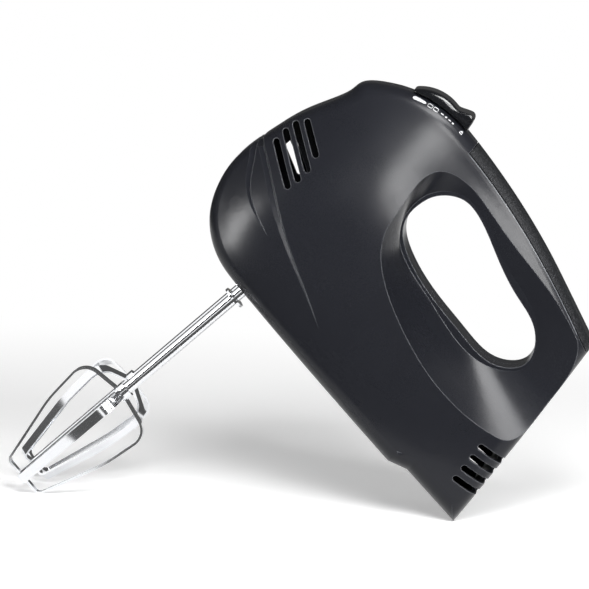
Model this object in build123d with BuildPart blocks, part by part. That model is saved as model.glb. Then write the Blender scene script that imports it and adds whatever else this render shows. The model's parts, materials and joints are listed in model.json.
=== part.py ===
# Hand mixer: a clamshell housing with a looped handle, a universal motor whose worm
# turns two hollow spindles, and two wire-strip beaters that push in from below.
#
# The mixer is drawn in its own frame: x runs from the nose back to the heel, y is across
# (minus y is its left side) and z rises from the flat base. Every finished piece is then
# moved by one placement, which stands the mixer on its beater tips and its heel.
from build123d import *
import math
import os

# ---------------------------------------------------------------- driving sizes (mm)
body_length = 202.0        # nose to heel, along the base plane
body_height = 131.0        # base to the crown of the handle
wall = 2.6                 # housing wall
edge_round = 10.0          # rounding of the nose, crown, handle and heel edges
base_z = 1.4               # underside of the body, over the plane that the beater sizes start from
heel_lift = 5.6            # step under the heel, which hooks on a bowl's rim
heel_lean = 11.2           # lean of the heel face, degrees
dome_r = 61.0              # crown arc under the speed control
dome_x = 60.0              # centre of that arc, back from the nose
back_r = 330.0             # long arc of the handle's back
grip_half_width = 16.5     # half width of the handle
scoop_inner = 13.5         # half width where the dish meets the opening's rim
scoop_outer = 48.0         # the dish's cut runs out to here, clear of the body
scoop_rim = 1.8            # flat rim between the opening and its dish
fit = 0.3                  # gap between neighbouring pieces that only lie together
running = 0.05             # radial clearance of a shaft in its bush

beater_x = 50.6            # beater axes, back from the nose
beater_pitch = 40.0        # distance between the two beater axes
shaft_r = 2.9              # beater shaft
shaft_depth = 40.0         # how far the shaft goes into its spindle
beater_reach = 141.0       # base plane to the beater's tip
cage_r = 23.2              # widest radius of the beater's cage
strip_width = 4.9
strip_thick = 1.1

worm_z = 32.0              # height of the motor shaft
gear_module = 1.0
worm_starts = 2
worm_pitch_r = 4.0
gear_teeth = 32
gear_face = 8.0
spindle_r = 5.0
eject_stroke = 6.0

motor_front = 86.0         # front face of the field core, back from the nose
core_length = 32.0
core_width = 48.0
core_height = 42.0
rotor_r = 14.0
air_gap = 0.5
coil_r = 20.5              # outer radius of the field coils' windows

control_half_width = 11.5
control_forward = 14.0     # travel of the speed control, degrees about the crown's centre
control_back = 4.0         # travel back from off, which presses the beaters out

control_stem = 12.0        # where the control's stem stands, degrees forward of the crown
stem_half_width = 3.0
seam_gap = 0.35            # gap round the handle's back cover

vent_width = 3.2
nose_vent_x = 16.4         # middle of the nose slots
nose_vent_z = 55.9         # middle of the lowest one
nose_vent_pitch = 6.1
nose_vent_lengths = (24.0, 25.5, 24.5, 18.5)
nose_vent_slant = 22.5     # degrees down towards the back
heel_vent_z = 24.4
heel_vent_pitch = 6.4
heel_vent_length = 14.3
heel_vent_slant = 12.5     # degrees up towards the heel
heel_vent_depth = 14.0     # the slots start this far from the middle
socket_r = 6.2
inlet_z = 68.0             # cord inlet up the heel face
inlet_r = 6.0
post_r = 3.5
cord_hole_r = 3.2
worm_length = 6 * math.pi * gear_module
worm_root_r = worm_pitch_r - 1.3 * gear_module
thread_height = 2.2 * gear_module
front_shaft_r = 2.5
motor_shaft_r = 3.0
fan_r = 18.5
fan_depth = 5.5
winding_bulge = 5.5
commutator_r = 9.0
commutator_length = 12.0
coil_half_angle = 30.0
coil_end = 5.0
frame_screw_r = 1.6
switch_length = 14.0
switch_depth = 12.0
shelf_thick = 2.4
housing_screw_r = 1.5
screw_head_r = 3.0
screw_seat = 7.0           # the housing screws' heads sit this far right of the seam
screw_bite = 8.0           # and their tips reach this far left of it
left_boss_r = 3.8
right_boss_r = 5.2
valley_height = 3.6        # height of the cutter that presses the nose's valleys
valley_steep = 2.4         # its reach at that height on the valleys' steep side
valley_spread = 8.0        # and on the side towards the nose
valley_sections = 15
collar_z = -5.6
collar_r = 5.7
cage_top = 76.0
foot_r = 11.4             # where the strips meet the foot

# valleys pressed into each side of the nose: places on the skin from the seam backwards,
# the depth at the seam, the greatest depth, and the share of the way where it starts to fade
nose_valleys = ((((1.5, -4, 54.8), (1.7, -16.5, 54.4), (12.8, -25.8, 50.3), (29.3, -35.4, 42.4),
                  (41.3, -39.9, 36.8), (65, -42.4, 28.1), (92, -42, 17.5)), 1.0, 1.2, 0.35),
                (((1.5, -4, 51.6), (1.7, -16.5, 51.0), (7.5, -23, 44.5), (15.2, -28.7, 37.0),
                  (25, -34.5, 32.6), (40, -39.5, 29.5)), 0.0, 1.2, 0.45))

# ---------------------------------------------------------------- derived places
dome_z = body_height - dome_r
lean = math.tan(math.radians(heel_lean))
gear_pitch_r = gear_module * gear_teeth / 2
beater_y = beater_pitch / 2
motor_back = motor_front + core_length
case_floor = worm_z - 20.0       # underside of the gear case
case_thick = 3.0
case_back = motor_front - 14.0   # rear face of the gear case's upright wall
cover_z = worm_z + 12.0          # underside of the gear cover
spindle_foot = base_z + 0.8
spindle_top = cover_z + 5.0
pin_head_z = spindle_top + eject_stroke + 1.0
plate_z = pin_head_z + 2.0
shaft_plane = Plane((0, 0, worm_z), x_dir=(0, 1, 0), z_dir=(1, 0, 0))
sides = {"left": -1, "right": 1}
fan_x = case_back + 1.5
rod_top = dome_z + 45.0
case_front = beater_x - 21.0
case_half_width = 33.0
cover_pillars = ((case_front + 4, -9), (case_front + 4, 9))
frame_corners = [(y * (core_width / 2 - 3.5), z * (core_height / 2 - 3.5))
                 for y in (-1, 1) for z in (-1, 1)]
front_bush_x = 35.5
middle_bush_x = case_back - 4.5
rear_bush_x = motor_back + 28.0
bush_r = 5.0
switch_x = dome_x + 4.0
switch_top = dome_z + 46.0
switch_floor = switch_top - switch_depth
bracket_x = rear_bush_x - 3.0
housing_screws_at = ((17, 27), (66, 90), (100, 60.5), (166, 24), (171, 99.5))
motor_floor = worm_z - core_height / 2
housing_posts = ((38, 18, case_floor), (64, 28, case_floor),
                 (motor_front + 8, 14, motor_floor), (motor_back - 8, 14, motor_floor))


def heel_x(z):
    """How far back the leaning heel face stands at height z."""
    return body_length - z * lean


def crown_point(angle, r):
    """A point about the crown arc's centre, its angle counted forward from straight up."""
    a = math.radians(90 + angle)
    return (dome_x + r * math.cos(a), dome_z + r * math.sin(a))


# ---------------------------------------------------------------- housing form
def moved_in(points, inset):
    """Points of an outline drawn clockwise, each moved square to its neighbours' chord by inset."""
    moved = []
    for before, here, after in zip(points, points[1:], points[2:]):
        chord = Vector(after[0] - before[0], after[1] - before[1]).normalized()
        moved.append((here[0] + inset * chord.Y, here[1] - inset * chord.X))
    return moved


def side_outline(inset=0.0):
    """The mixer seen from the side, with its edge moved in by inset."""
    step = body_length - 35.5
    heel_inset = inset / math.cos(math.radians(heel_lean))
    floor = base_z + inset
    nose = ((42.5, base_z), (26, 4.0), (13.4, 11.4), (4.8, 23), (-0.1, 40), (1.1, 58),
            (4.6, body_height - 53), (11.5, body_height - 30.5), crown_point(36, dome_r))
    with BuildSketch(Plane.XZ) as outline:
        with BuildLine():
            crown = CenterArc((dome_x, dome_z), dome_r - inset, 126, -36)
            back = CenterArc((dome_x, body_height - back_r), back_r - inset, 90, -15)
            start, slope = back @ 1, back % 1
            run = (body_length - heel_inset - start.Y * lean - start.X) / (slope.X + slope.Y * lean)
            corner = (start.X + run * slope.X, start.Y + run * slope.Y)
            heel_z = heel_lift + inset
            Polyline(start, corner, (heel_x(heel_z) - heel_inset, heel_z), (step, heel_z),
                     (step - 9, floor), (42.5, floor))
            Spline((42.5, floor), *moved_in(nose, inset), crown @ 0,
                   tangents=[(-1, 0), crown % 0])
        make_face()
    return outline.sketch


def plan_levels():
    """Half widths of the body at stations back from the nose, at each height."""
    stations = (-4, 12, 28, 51, 85, 130, body_length - 31, body_length + 5)
    grip = grip_half_width
    levels = ((-8, (6, 15, 23, 29, 31, 30, 27, 23)),
              (20, (12, 26, 36, 41.5, 43, 41.5, 37, 31)),
              (46, (13, 27, 37, 42.5, 43, 41.5, 37, 31)),
              (80, (9, 21, 30, 36.5, 36, 34.5, 31, 27)),
              (body_height - 19, (5, 11, 17, 22, 18, grip, grip, grip)),
              (body_height + 9, (4, 8, 11, 14, 15, grip, grip, grip)))
    return stations, levels


def opening_points(grow=0.0):
    """Points round the handle's opening, moved out from its middle by grow."""
    top, back = body_height, body_length
    rim = ((74.2, top - 40.4), (79.8, 76.4), (92, 70.6), (113, 67.0), (136, 66.3), (back - 44.6, 69.4),
           (back - 36.4, 80.4), (back - 45.3, 94), (138, top - 32.4), (117, top - 27.2),
           (99, top - 21.8), (86, top - 22.0), (77.2, top - 29.5))
    middle = ((back + 34) / 2, top / 2 + 22.5)
    points = []
    for x, z in rim:
        away = Vector(x - middle[0], 0, (z - middle[1]) * 2).normalized()
        points.append((x + grow * away.X, z + grow * away.Z))
    return points


def opening_outline(grow=0.0):
    """The handle's opening from the side, moved out by grow."""
    with BuildSketch(Plane.XZ) as outline:
        with BuildLine():
            Spline(*opening_points(grow), periodic=True)
        make_face()
    return outline.sketch


def scoop_outline(y, inset):
    """The dish round the opening, cut by the plane at depth y."""
    top, back = body_height, body_length
    spread = (y - scoop_inner + inset) / (40 - scoop_inner)
    rim = opening_points(scoop_rim + inset)
    rim = [rim[i] for i in (0, 1, 3, 5, 6, 7, 9, 11)]
    crease = ((65, top - 44), (72.5, 71), (110, 52), (back - 20, 46), (back + 40, 76),
              (back + 20, top + 60), (114, top + 60), (61, top + 16))
    points = [(r[0] + spread * (c[0] - r[0]), r[1] + spread * (c[1] - r[1]))
              for r, c in zip(rim, crease)]
    with BuildSketch(Plane.XZ.offset(y)) as outline:
        with BuildLine():
            Spline(*points, periodic=True)
        make_face()
    return outline.sketch


def mixer_form(inset=0.0):
    """Left half of the body with every wall moved in by inset; a cavity runs past the seam."""
    stations, levels = plan_levels()
    seam = 2.0 if inset else 0.0
    with BuildPart() as form:
        for z, widths in levels:
            with BuildSketch(Plane.XY.offset(z)):
                with BuildLine():
                    edge = [(x, inset - width) for x, width in zip(stations, widths)]
                    Spline(*edge)
                    Polyline(edge[-1], (stations[-1], seam), (stations[0], seam), edge[0])
                make_face()
        loft()
        extrude(side_outline(inset), amount=60, both=True, mode=Mode.INTERSECT)
        side = form.faces().filter_by(GeomType.BSPLINE).sort_by(Axis.Y)[0]
        fillet([e for e in side.edges() if (e @ 0.5).Y < -6], edge_round - inset)
        loft([scoop_outline(scoop_inner - inset, inset), scoop_outline(scoop_outer, inset)],
             ruled=True, mode=Mode.SUBTRACT)
        extrude(opening_outline(inset), amount=60, both=True, mode=Mode.SUBTRACT)
    return form.part


def skin_point(form, place):
    """Where the line from the body's middle through a place leaves the form, and the normal there."""
    x, y, z = place
    start = Vector(max(x, 40), 0, z)
    line = Axis(start, Vector(x, y, z) - start)
    hits = form.find_intersection_points(line)
    return max(hits, key=lambda hit: (hit[0] - start).length)


def pressed_line(form, places, seam_depth, full_depth, fade_from):
    """A sharp valley along places on the nose, as a solid to cut, which fades out at its rear end."""
    route = Spline(*places)
    skin, depths = [], []
    for i in range(valley_sections):
        share = i / (valley_sections - 1)
        skin.append(skin_point(form, tuple(route @ share)))
        rise = min(1, share / 0.2)
        fade = min(1, (1 - share) / (1 - fade_from))
        depths.append(fade * (seam_depth + rise * (full_depth - seam_depth)) - 0.1)
    # one more section on the other side of the seam, so that the two halves' valleys meet
    spot, out = skin[0]
    skin.insert(0, (Vector(spot.X, -spot.Y, spot.Z), Vector(out.X, -out.Y, out.Z)))
    depths.insert(0, depths[0])
    sections = []
    for i, ((spot, out), depth) in enumerate(zip(skin, depths)):
        along = skin[min(i + 1, len(skin) - 1)][0] - skin[max(i - 1, 0)][0]
        across = along.cross(out).normalized()
        plane = Plane(origin=spot, x_dir=across, z_dir=across.cross(out))
        with BuildSketch(plane) as section:
            with BuildLine():
                Polyline((0, -depth), (-valley_steep, valley_height - depth),
                         (valley_spread, valley_height - depth), close=True)
            make_face()
        sections.append(section.sketch)
    with BuildPart() as valley:
        loft(sections, ruled=True)
    return valley.part


plain_form = mixer_form()
with BuildPart() as pressed_form:
    add(plain_form)
    for valley_sizes in nose_valleys:
        add(pressed_line(plain_form, *valley_sizes), mode=Mode.SUBTRACT)
outer_form = pressed_form.part
inner_form = mixer_form(wall)


# ---------------------------------------------------------------- housing halves
def strip_region(edge):
    """Everything above the line where the back cover meets the handle, moved up by edge."""
    top, back = body_height, body_length
    with BuildSketch(Plane.XZ) as region:
        with BuildLine():
            line = ThreePointArc((71 + edge, top - 5.3 + edge), (119.3, top - 10.3 + edge),
                                 (back - 30, top - 22.2 + edge))
            far = (line @ 1) + (line % 1) * 40
            Polyline(line @ 1, far, far + Vector(6, 40), (line @ 0) + Vector(-6, 40), line @ 0)
        make_face()
    return region.sketch


def nose_vents():
    """The nose's slanted slots, cut through the side wall."""
    with BuildSketch(Plane.XZ) as slots:
        for i, length in enumerate(nose_vent_lengths):
            with Locations((nose_vent_x, nose_vent_z + i * nose_vent_pitch)):
                SlotOverall(length, vent_width, rotation=-nose_vent_slant)
    return slots.sketch


def heel_vents():
    """Slots that wrap the heel's corner, stacked up the heel face."""
    with BuildSketch(Plane.XZ) as slots:
        for i in range(4):
            z = heel_vent_z + i * heel_vent_pitch
            with Locations((heel_x(z), z)):
                SlotOverall(2 * heel_vent_length, vent_width, rotation=heel_vent_slant)
    return slots.sketch


def screw_bosses(form, side, r):
    """Bosses from the seam out to the side wall, one for each screw that joins the halves."""
    with BuildPart() as bosses:
        with BuildSketch(Plane.XZ):
            with Locations(*housing_screws_at):
                Circle(r)
        extrude(amount=-side * 60)
        add(form, mode=Mode.INTERSECT)
    return bosses.part


def switch_shelf(form):
    """Rib from the side wall to the seam, which carries the speed switch."""
    with BuildPart() as shelf:
        with Locations((switch_x, -30, switch_floor)):
            Box(switch_length - 2, 60, shelf_thick, align=(Align.CENTER, Align.CENTER, Align.MAX))
        add(form, mode=Mode.INTERSECT)
    return shelf.part


with BuildPart() as shell:
    add(outer_form)
    add(inner_form, mode=Mode.SUBTRACT)
    extrude(strip_region(0), amount=60, both=True, mode=Mode.SUBTRACT)
    extrude(nose_vents(), amount=60, both=True, mode=Mode.SUBTRACT)
    with BuildSketch(Plane.XZ.offset(heel_vent_depth)):
        add(heel_vents())
    extrude(amount=60, mode=Mode.SUBTRACT)
    # sockets in the base, where the beaters go in
    with Locations((beater_x, -beater_y, -5)):
        Cylinder(socket_r, 20, mode=Mode.SUBTRACT)
    # slot in the crown for the speed control's stem
    with BuildSketch(Plane.XZ) as stem_slot:
        with BuildLine():
            front, rear = control_stem + control_forward + 2.5, control_stem - control_back - 2.5
            inner = CenterArc((dome_x, dome_z), dome_r - 8, 90 + rear, front - rear)
            outer = CenterArc((dome_x, dome_z), dome_r + 8, 90 + rear, front - rear)
            Line(inner @ 0, outer @ 0)
            Line(inner @ 1, outer @ 1)
        make_face()
    extrude(amount=stem_half_width + 0.5, both=True, mode=Mode.SUBTRACT)
    # inlet for the cord in the heel face
    heel_plane = Plane(origin=(heel_x(inlet_z), 0, inlet_z), x_dir=(0, 1, 0),
                       z_dir=(math.cos(math.radians(heel_lean)), 0, math.sin(math.radians(heel_lean))))
    with BuildSketch(heel_plane.offset(-10)):
        Circle(inlet_r)
    extrude(amount=20, mode=Mode.SUBTRACT)
    # posts under the gear case and the motor
    for x, y, top in housing_posts:
        with BuildSketch(Plane.XY.offset(wall - 1)):
            with Locations((x, -y)):
                Circle(post_r)
        extrude(amount=top - wall + 1)
    add(switch_shelf(outer_form))

right_form = mirror(outer_form, about=Plane.XZ)

with BuildPart() as housing_left:
    add(shell.part)
    add(screw_bosses(outer_form, -1, left_boss_r))
    with BuildSketch(Plane.XZ):
        with Locations(*housing_screws_at):
            Circle(housing_screw_r)
    extrude(amount=screw_bite + 1, mode=Mode.SUBTRACT)

with BuildPart() as housing_right:
    add(mirror(shell.part, about=Plane.XZ))
    add(screw_bosses(right_form, 1, right_boss_r))
    with BuildSketch(Plane.XZ):
        with Locations(*housing_screws_at):
            Circle(housing_screw_r)
    extrude(amount=-screw_seat - 1, mode=Mode.SUBTRACT)
    # the heads' holes run out through the right wall
    with BuildSketch(Plane.XZ.offset(-screw_seat)):
        with Locations(*housing_screws_at):
            Circle(screw_head_r + fit)
    extrude(amount=-60, mode=Mode.SUBTRACT)

with BuildPart() as housing_screws:
    with BuildSketch(Plane.XZ.offset(screw_bite)):
        with Locations(*housing_screws_at):
            Circle(housing_screw_r)
    extrude(amount=-screw_bite - screw_seat)
    with BuildSketch(Plane.XZ.offset(-screw_seat)):
        with Locations(*housing_screws_at):
            Circle(screw_head_r)
    extrude(amount=-2.2)
    # cross slots
    with BuildSketch(Plane.XZ.offset(-screw_seat - 1.0)):
        with Locations(*housing_screws_at):
            Rectangle(3.6, 0.8)
            Rectangle(0.8, 3.6)
    extrude(amount=-3, mode=Mode.SUBTRACT)

with BuildPart() as handle_cover:
    add(outer_form)
    add(right_form)
    extrude(strip_region(seam_gap), amount=60, both=True, mode=Mode.INTERSECT)
    add(inner_form, mode=Mode.SUBTRACT)
    add(mirror(inner_form, about=Plane.XZ), mode=Mode.SUBTRACT)

with BuildPart() as cord_bushing:
    with BuildSketch(heel_plane.offset(-9)):
        Circle(inlet_r - fit / 2)
        Circle(cord_hole_r, mode=Mode.SUBTRACT)
    extrude(amount=8.6)
    with BuildSketch(heel_plane.offset(-wall - 4)):
        Circle(inlet_r + 2)
        Circle(inlet_r - 1, mode=Mode.SUBTRACT)
    extrude(amount=3.8)


# ---------------------------------------------------------------- speed control
with BuildPart() as speed_control:
    with BuildSketch(Plane.XZ):
        with BuildLine():
            under = CenterArc((dome_x, dome_z), dome_r + fit, 90 - 2.4, 30.4)
            front = crown_point(28.2, dome_r + 1.6)
            Line(under @ 1, front)
            back = ThreePointArc(front, (39.5, body_height + 1.9), (52.0, body_height + 3.9))
            rise = Line(back @ 1, (57.3, body_height + 7.1))
            tab = ThreePointArc(rise @ 1, (60.0, body_height + 7.1), (61.3, body_height + 4.8))
            Line(tab @ 1, under @ 0)
        make_face()
    extrude(amount=control_half_width, both=True)
    fillet(speed_control.edges().filter_by(GeomType.CIRCLE).filter_by(
        lambda e: 20 < e.radius < dome_r - 5 and abs((e @ 0.5).Y) > 1), 3.0)

with BuildPart() as control_carriage:
    with BuildSketch(Plane.XZ) as carriage:
        with BuildLine():
            a, b = 90 + control_stem - 9, 90 + control_stem + 9
            top = CenterArc((dome_x, dome_z), dome_r - wall - fit, a, b - a)
            low = CenterArc((dome_x, dome_z), dome_r - wall - fit - 2.5, a, b - a)
            Line(top @ 0, low @ 0)
            Line(top @ 1, low @ 1)
        make_face()
    extrude(amount=8, both=True)
    with BuildSketch(Plane.XZ) as stem:
        with BuildLine():
            a, b = 90 + control_stem - 2, 90 + control_stem + 2
            top = CenterArc((dome_x, dome_z), dome_r + fit, a, b - a)
            low = CenterArc((dome_x, dome_z), dome_r - wall - 1, a, b - a)
            Line(top @ 0, low @ 0)
            Line(top @ 1, low @ 1)
        make_face()
    extrude(amount=stem_half_width, both=True)

with BuildPart() as speed_switch:
    with Locations((switch_x, 0, switch_floor + switch_depth / 2)):
        Box(switch_length, 18, switch_depth)
    fillet(speed_switch.edges().filter_by(Axis.Z), 1.5)


# ---------------------------------------------------------------- gear case
def spindle_places(z):
    """The two spindle axes at height z."""
    return [(beater_x, -beater_y, z), (beater_x, beater_y, z)]


with BuildPart() as gear_case:
    with BuildSketch(Plane.XY.offset(case_floor)):
        with Locations(((case_front + case_back) / 2, 0)):
            RectangleRounded(case_back - case_front, 2 * case_half_width, 9)
    extrude(amount=case_thick)
    with Locations(*spindle_places(case_floor - 4)):
        Cylinder(spindle_r + 3, case_thick + 11, align=(Align.CENTER, Align.CENTER, Align.MIN))
    # upright wall that carries the motor, with the fan's air holes
    with Locations((case_back - case_thick / 2, 0, worm_z)):
        Box(case_thick, core_width, core_height - 2)
    with BuildSketch(shaft_plane.offset(case_back - case_thick)):
        with PolarLocations(15, 4, start_angle=0):
            Circle(3.6)
    extrude(amount=case_thick, mode=Mode.SUBTRACT)
    with BuildSketch(shaft_plane.offset(case_back)):
        with Locations(*frame_corners):
            Circle(3.4)
    extrude(amount=motor_front - case_back)
    # pedestals for the two bushes, and pillars for the cover
    with Locations((front_bush_x, 0, case_floor)):
        Box(5, 13, worm_z - case_floor + 6.5, align=(Align.CENTER, Align.CENTER, Align.MIN))
    with Locations((middle_bush_x, 0, case_floor)):
        Box(6, 15, worm_z - case_floor + 7.5, align=(Align.CENTER, Align.CENTER, Align.MIN))
    with Locations(*[(x, y, case_floor) for x, y in cover_pillars]):
        Cylinder(3.2, cover_z - case_floor, align=(Align.CENTER, Align.CENTER, Align.MIN))
    # bores
    with Locations(*spindle_places(case_floor)):
        Cylinder(spindle_r + running, 40, mode=Mode.SUBTRACT)
    with Locations(Location((front_bush_x, 0, worm_z), (0, 90, 0))):
        Cylinder(bush_r, 12, mode=Mode.SUBTRACT)
    with Locations(Location((middle_bush_x + 1, 0, worm_z), (0, 90, 0))):
        Cylinder(bush_r, 14, mode=Mode.SUBTRACT)

with BuildPart() as gear_cover:
    with BuildSketch(Plane.XY.offset(cover_z)):
        with Locations(((case_front + case_back) / 2 - 2, 0)):
            RectangleRounded(case_back - case_front - 4, 2 * case_half_width, 9)
    extrude(amount=case_thick)
    with Locations(*spindle_places(cover_z - 2.5)):
        Cylinder(spindle_r + 3, 6.5, align=(Align.CENTER, Align.CENTER, Align.MIN))
    with Locations(*spindle_places(cover_z)):
        Cylinder(spindle_r + running, 40, mode=Mode.SUBTRACT)

with BuildPart() as cover_screws:
    for x, y in cover_pillars:
        with Locations((x, y, cover_z + case_thick)):
            Cylinder(2.6, 1.8, align=(Align.CENTER, Align.CENTER, Align.MIN))


# ---------------------------------------------------------------- worm gears and spindles
def gear_profile(turn):
    """The worm gear's toothed outline, turned by an angle in degrees."""
    step = 360 / gear_teeth
    root, tip = gear_pitch_r - 1.2 * gear_module, gear_pitch_r + 0.9 * gear_module
    points = []
    for tooth in range(gear_teeth):
        for share, r in ((-0.34, root), (-0.13, tip), (0.13, tip), (0.34, root)):
            a = math.radians(turn + (tooth + share) * step)
            points.append((r * math.cos(a), r * math.sin(a)))
    return points


lead = worm_starts * math.pi * gear_module
lead_angle = math.atan(lead / (2 * math.pi * worm_pitch_r))
gear_twist = math.degrees(gear_face * math.tan(lead_angle) / gear_pitch_r)

spindles = {}
for side, sign in sides.items():
    # a gap between teeth faces the worm at mid height
    phase = -sign * 90 + 180 / gear_teeth
    with BuildPart() as spindle:
        for share in (-0.5, -0.25, 0, 0.25, 0.5):
            with BuildSketch(Plane((beater_x, sign * beater_y, worm_z + share * gear_face))):
                Polygon(*gear_profile(phase + share * gear_twist), align=None)
        loft(ruled=True)
        with Locations((beater_x, sign * beater_y, worm_z)):
            Cylinder(8.0, 16)
        with Locations((beater_x, sign * beater_y, spindle_foot)):
            Cylinder(spindle_r, spindle_top - spindle_foot,
                     align=(Align.CENTER, Align.CENTER, Align.MIN))
            Cylinder(shaft_r + running, 200, mode=Mode.SUBTRACT)
    spindles[side] = spindle


# ---------------------------------------------------------------- motor
def coil_sector(start, end, inner, outer):
    """A slice of a ring between two angles, for the coils and the windows they lie in."""
    with BuildSketch(Plane.XY) as slice_sketch:
        with BuildLine():
            low = CenterArc((0, 0), inner, start, end - start)
            high = CenterArc((0, 0), outer, start, end - start)
            Line(low @ 0, high @ 0)
            Line(low @ 1, high @ 1)
        make_face()
    return slice_sketch.sketch


def ring_on_shaft(start, end, outer, inner):
    """A plain ring on the motor shaft's line, from start to end."""
    with BuildPart() as ring:
        with BuildSketch(shaft_plane.offset(start)):
            Circle(outer)
            Circle(inner, mode=Mode.SUBTRACT)
        extrude(amount=end - start)
    return ring


shaft_axis = Axis((0, 0, worm_z), (1, 0, 0))
worm_end = beater_x + worm_length / 2
with BuildPart() as thread:
    with BuildLine() as helix:
        Helix(pitch=lead, height=worm_length, radius=worm_root_r,
              center=(beater_x - worm_length / 2 - lead / 4, 0, worm_z), direction=(1, 0, 0))
    path = helix.wires()[0]
    outward = (path @ 0) - shaft_axis.position
    with BuildSketch(Plane(origin=path @ 0, x_dir=(0, outward.Y, outward.Z), z_dir=path % 0)):
        with BuildLine():
            Polyline((-0.4, -0.85), (0, -0.8), (thread_height, -0.32), (thread_height, 0.32),
                     (0, 0.8), (-0.4, 0.85), close=True)
        make_face()
    sweep(path=path, is_frenet=True)

with BuildPart() as armature_shaft:
    for start, end, r in ((front_bush_x - 3.5, front_bush_x + 3.5, front_shaft_r),
                          (front_bush_x + 3.5, worm_end + 1, worm_root_r),
                          (worm_end + 1, rear_bush_x + 4, motor_shaft_r)):
        with BuildSketch(shaft_plane.offset(start)):
            Circle(r)
        extrude(amount=end - start)
    # the worm's threads, one sweep turned to each start
    for start in range(worm_starts):
        add(thread.part.rotate(shaft_axis, start * 360 / worm_starts))

front_bush = ring_on_shaft(front_bush_x - 2.5, front_bush_x + 2.5, bush_r, front_shaft_r + running)
middle_bush = ring_on_shaft(middle_bush_x - 3, middle_bush_x + 3, bush_r, motor_shaft_r + running)
rear_bush = ring_on_shaft(rear_bush_x - 3, rear_bush_x + 3, bush_r, motor_shaft_r + running)

with BuildPart() as cooling_fan:
    with BuildSketch(shaft_plane.offset(fan_x)):
        Circle(fan_r)
    extrude(amount=1.2)
    with BuildSketch(shaft_plane.offset(fan_x)):
        Circle(5.5)
        with PolarLocations(12.2, 9):
            Rectangle(12.5, 1.1, rotation=24)
    extrude(amount=fan_depth)
    with BuildSketch(shaft_plane.offset(fan_x)):
        Circle(motor_shaft_r)
    extrude(amount=fan_depth, mode=Mode.SUBTRACT)

with BuildPart() as armature_core:
    with BuildSketch(shaft_plane.offset(motor_front + 1)):
        Circle(rotor_r)
        Circle(motor_shaft_r, mode=Mode.SUBTRACT)
        with PolarLocations(rotor_r - 3.0, 12):
            Rectangle(4.4, 2.6, mode=Mode.SUBTRACT)
        with PolarLocations(rotor_r, 12):
            Rectangle(3, 1.0, mode=Mode.SUBTRACT)
    extrude(amount=core_length - 2)

with BuildPart() as armature_windings:
    for face, out in ((motor_front + 1, -1), (motor_back - 1, 1)):
        with BuildSketch(shaft_plane.offset(face)):
            Circle(rotor_r - 1.2)
            Circle(motor_shaft_r, mode=Mode.SUBTRACT)
        extrude(amount=out * winding_bulge)
    fillet(armature_windings.edges().filter_by(GeomType.CIRCLE).filter_by(
        lambda e: e.radius > rotor_r - 1.3), 2.5)

with BuildPart() as commutator:
    with BuildSketch(shaft_plane.offset(motor_back + 9)):
        Circle(commutator_r)
        Circle(motor_shaft_r, mode=Mode.SUBTRACT)
        with PolarLocations(commutator_r, 12):
            Rectangle(1.6, 0.5, mode=Mode.SUBTRACT)
    extrude(amount=commutator_length)

with BuildPart() as field_core:
    with BuildSketch(shaft_plane.offset(motor_front)):
        RectangleRounded(core_width, core_height, 4)
        Circle(rotor_r + air_gap, mode=Mode.SUBTRACT)
        for middle in (0, 180):
            add(coil_sector(middle - coil_half_angle, middle + coil_half_angle,
                            rotor_r + air_gap / 2, coil_r), mode=Mode.SUBTRACT)
        with Locations(*frame_corners):
            Circle(frame_screw_r + 0.1, mode=Mode.SUBTRACT)
    extrude(amount=core_length)

field_coils = {}
for name, middle in (("upper", 90), ("lower", 270)):
    with BuildPart() as coil:
        with BuildSketch(shaft_plane.offset(motor_front - coil_end)):
            add(coil_sector(middle - 87, middle + 87, rotor_r + air_gap + 0.7, coil_r - fit))
        extrude(amount=core_length + 2 * coil_end)
        # the pole fills the coil's middle
        pole = 90 - coil_half_angle + 1.5
        with BuildSketch(shaft_plane.offset(motor_front - fit)):
            add(coil_sector(middle - pole, middle + pole, rotor_r, coil_r + 1))
        extrude(amount=core_length + 2 * fit, mode=Mode.SUBTRACT)
    field_coils[name] = coil

with BuildPart() as rear_bracket:
    with BuildSketch(shaft_plane.offset(bracket_x)):
        RectangleRounded(core_width, core_height - 2, 6)
        with PolarLocations(15.5, 4, start_angle=0):
            Circle(5.0, mode=Mode.SUBTRACT)
    extrude(amount=case_thick)
    with BuildSketch(shaft_plane.offset(bracket_x)):
        Circle(bush_r + 2.5)
    extrude(amount=7)
    with BuildSketch(shaft_plane.offset(motor_back)):
        with Locations(*frame_corners):
            Circle(3.4)
    extrude(amount=bracket_x - motor_back + case_thick)
    with BuildSketch(shaft_plane.offset(bracket_x)):
        Circle(bush_r)
    extrude(amount=7, mode=Mode.SUBTRACT)
    with BuildSketch(shaft_plane.offset(motor_back)):
        with Locations(*frame_corners):
            Circle(frame_screw_r + 0.1)
    extrude(amount=60, mode=Mode.SUBTRACT)

with BuildPart() as motor_screws:
    with BuildSketch(shaft_plane.offset(motor_front)):
        with Locations(*frame_corners):
            Circle(frame_screw_r)
    extrude(amount=bracket_x + case_thick - motor_front)
    with BuildSketch(shaft_plane.offset(bracket_x + case_thick)):
        with Locations(*frame_corners):
            Circle(3.2)
    extrude(amount=2.2)

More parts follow.
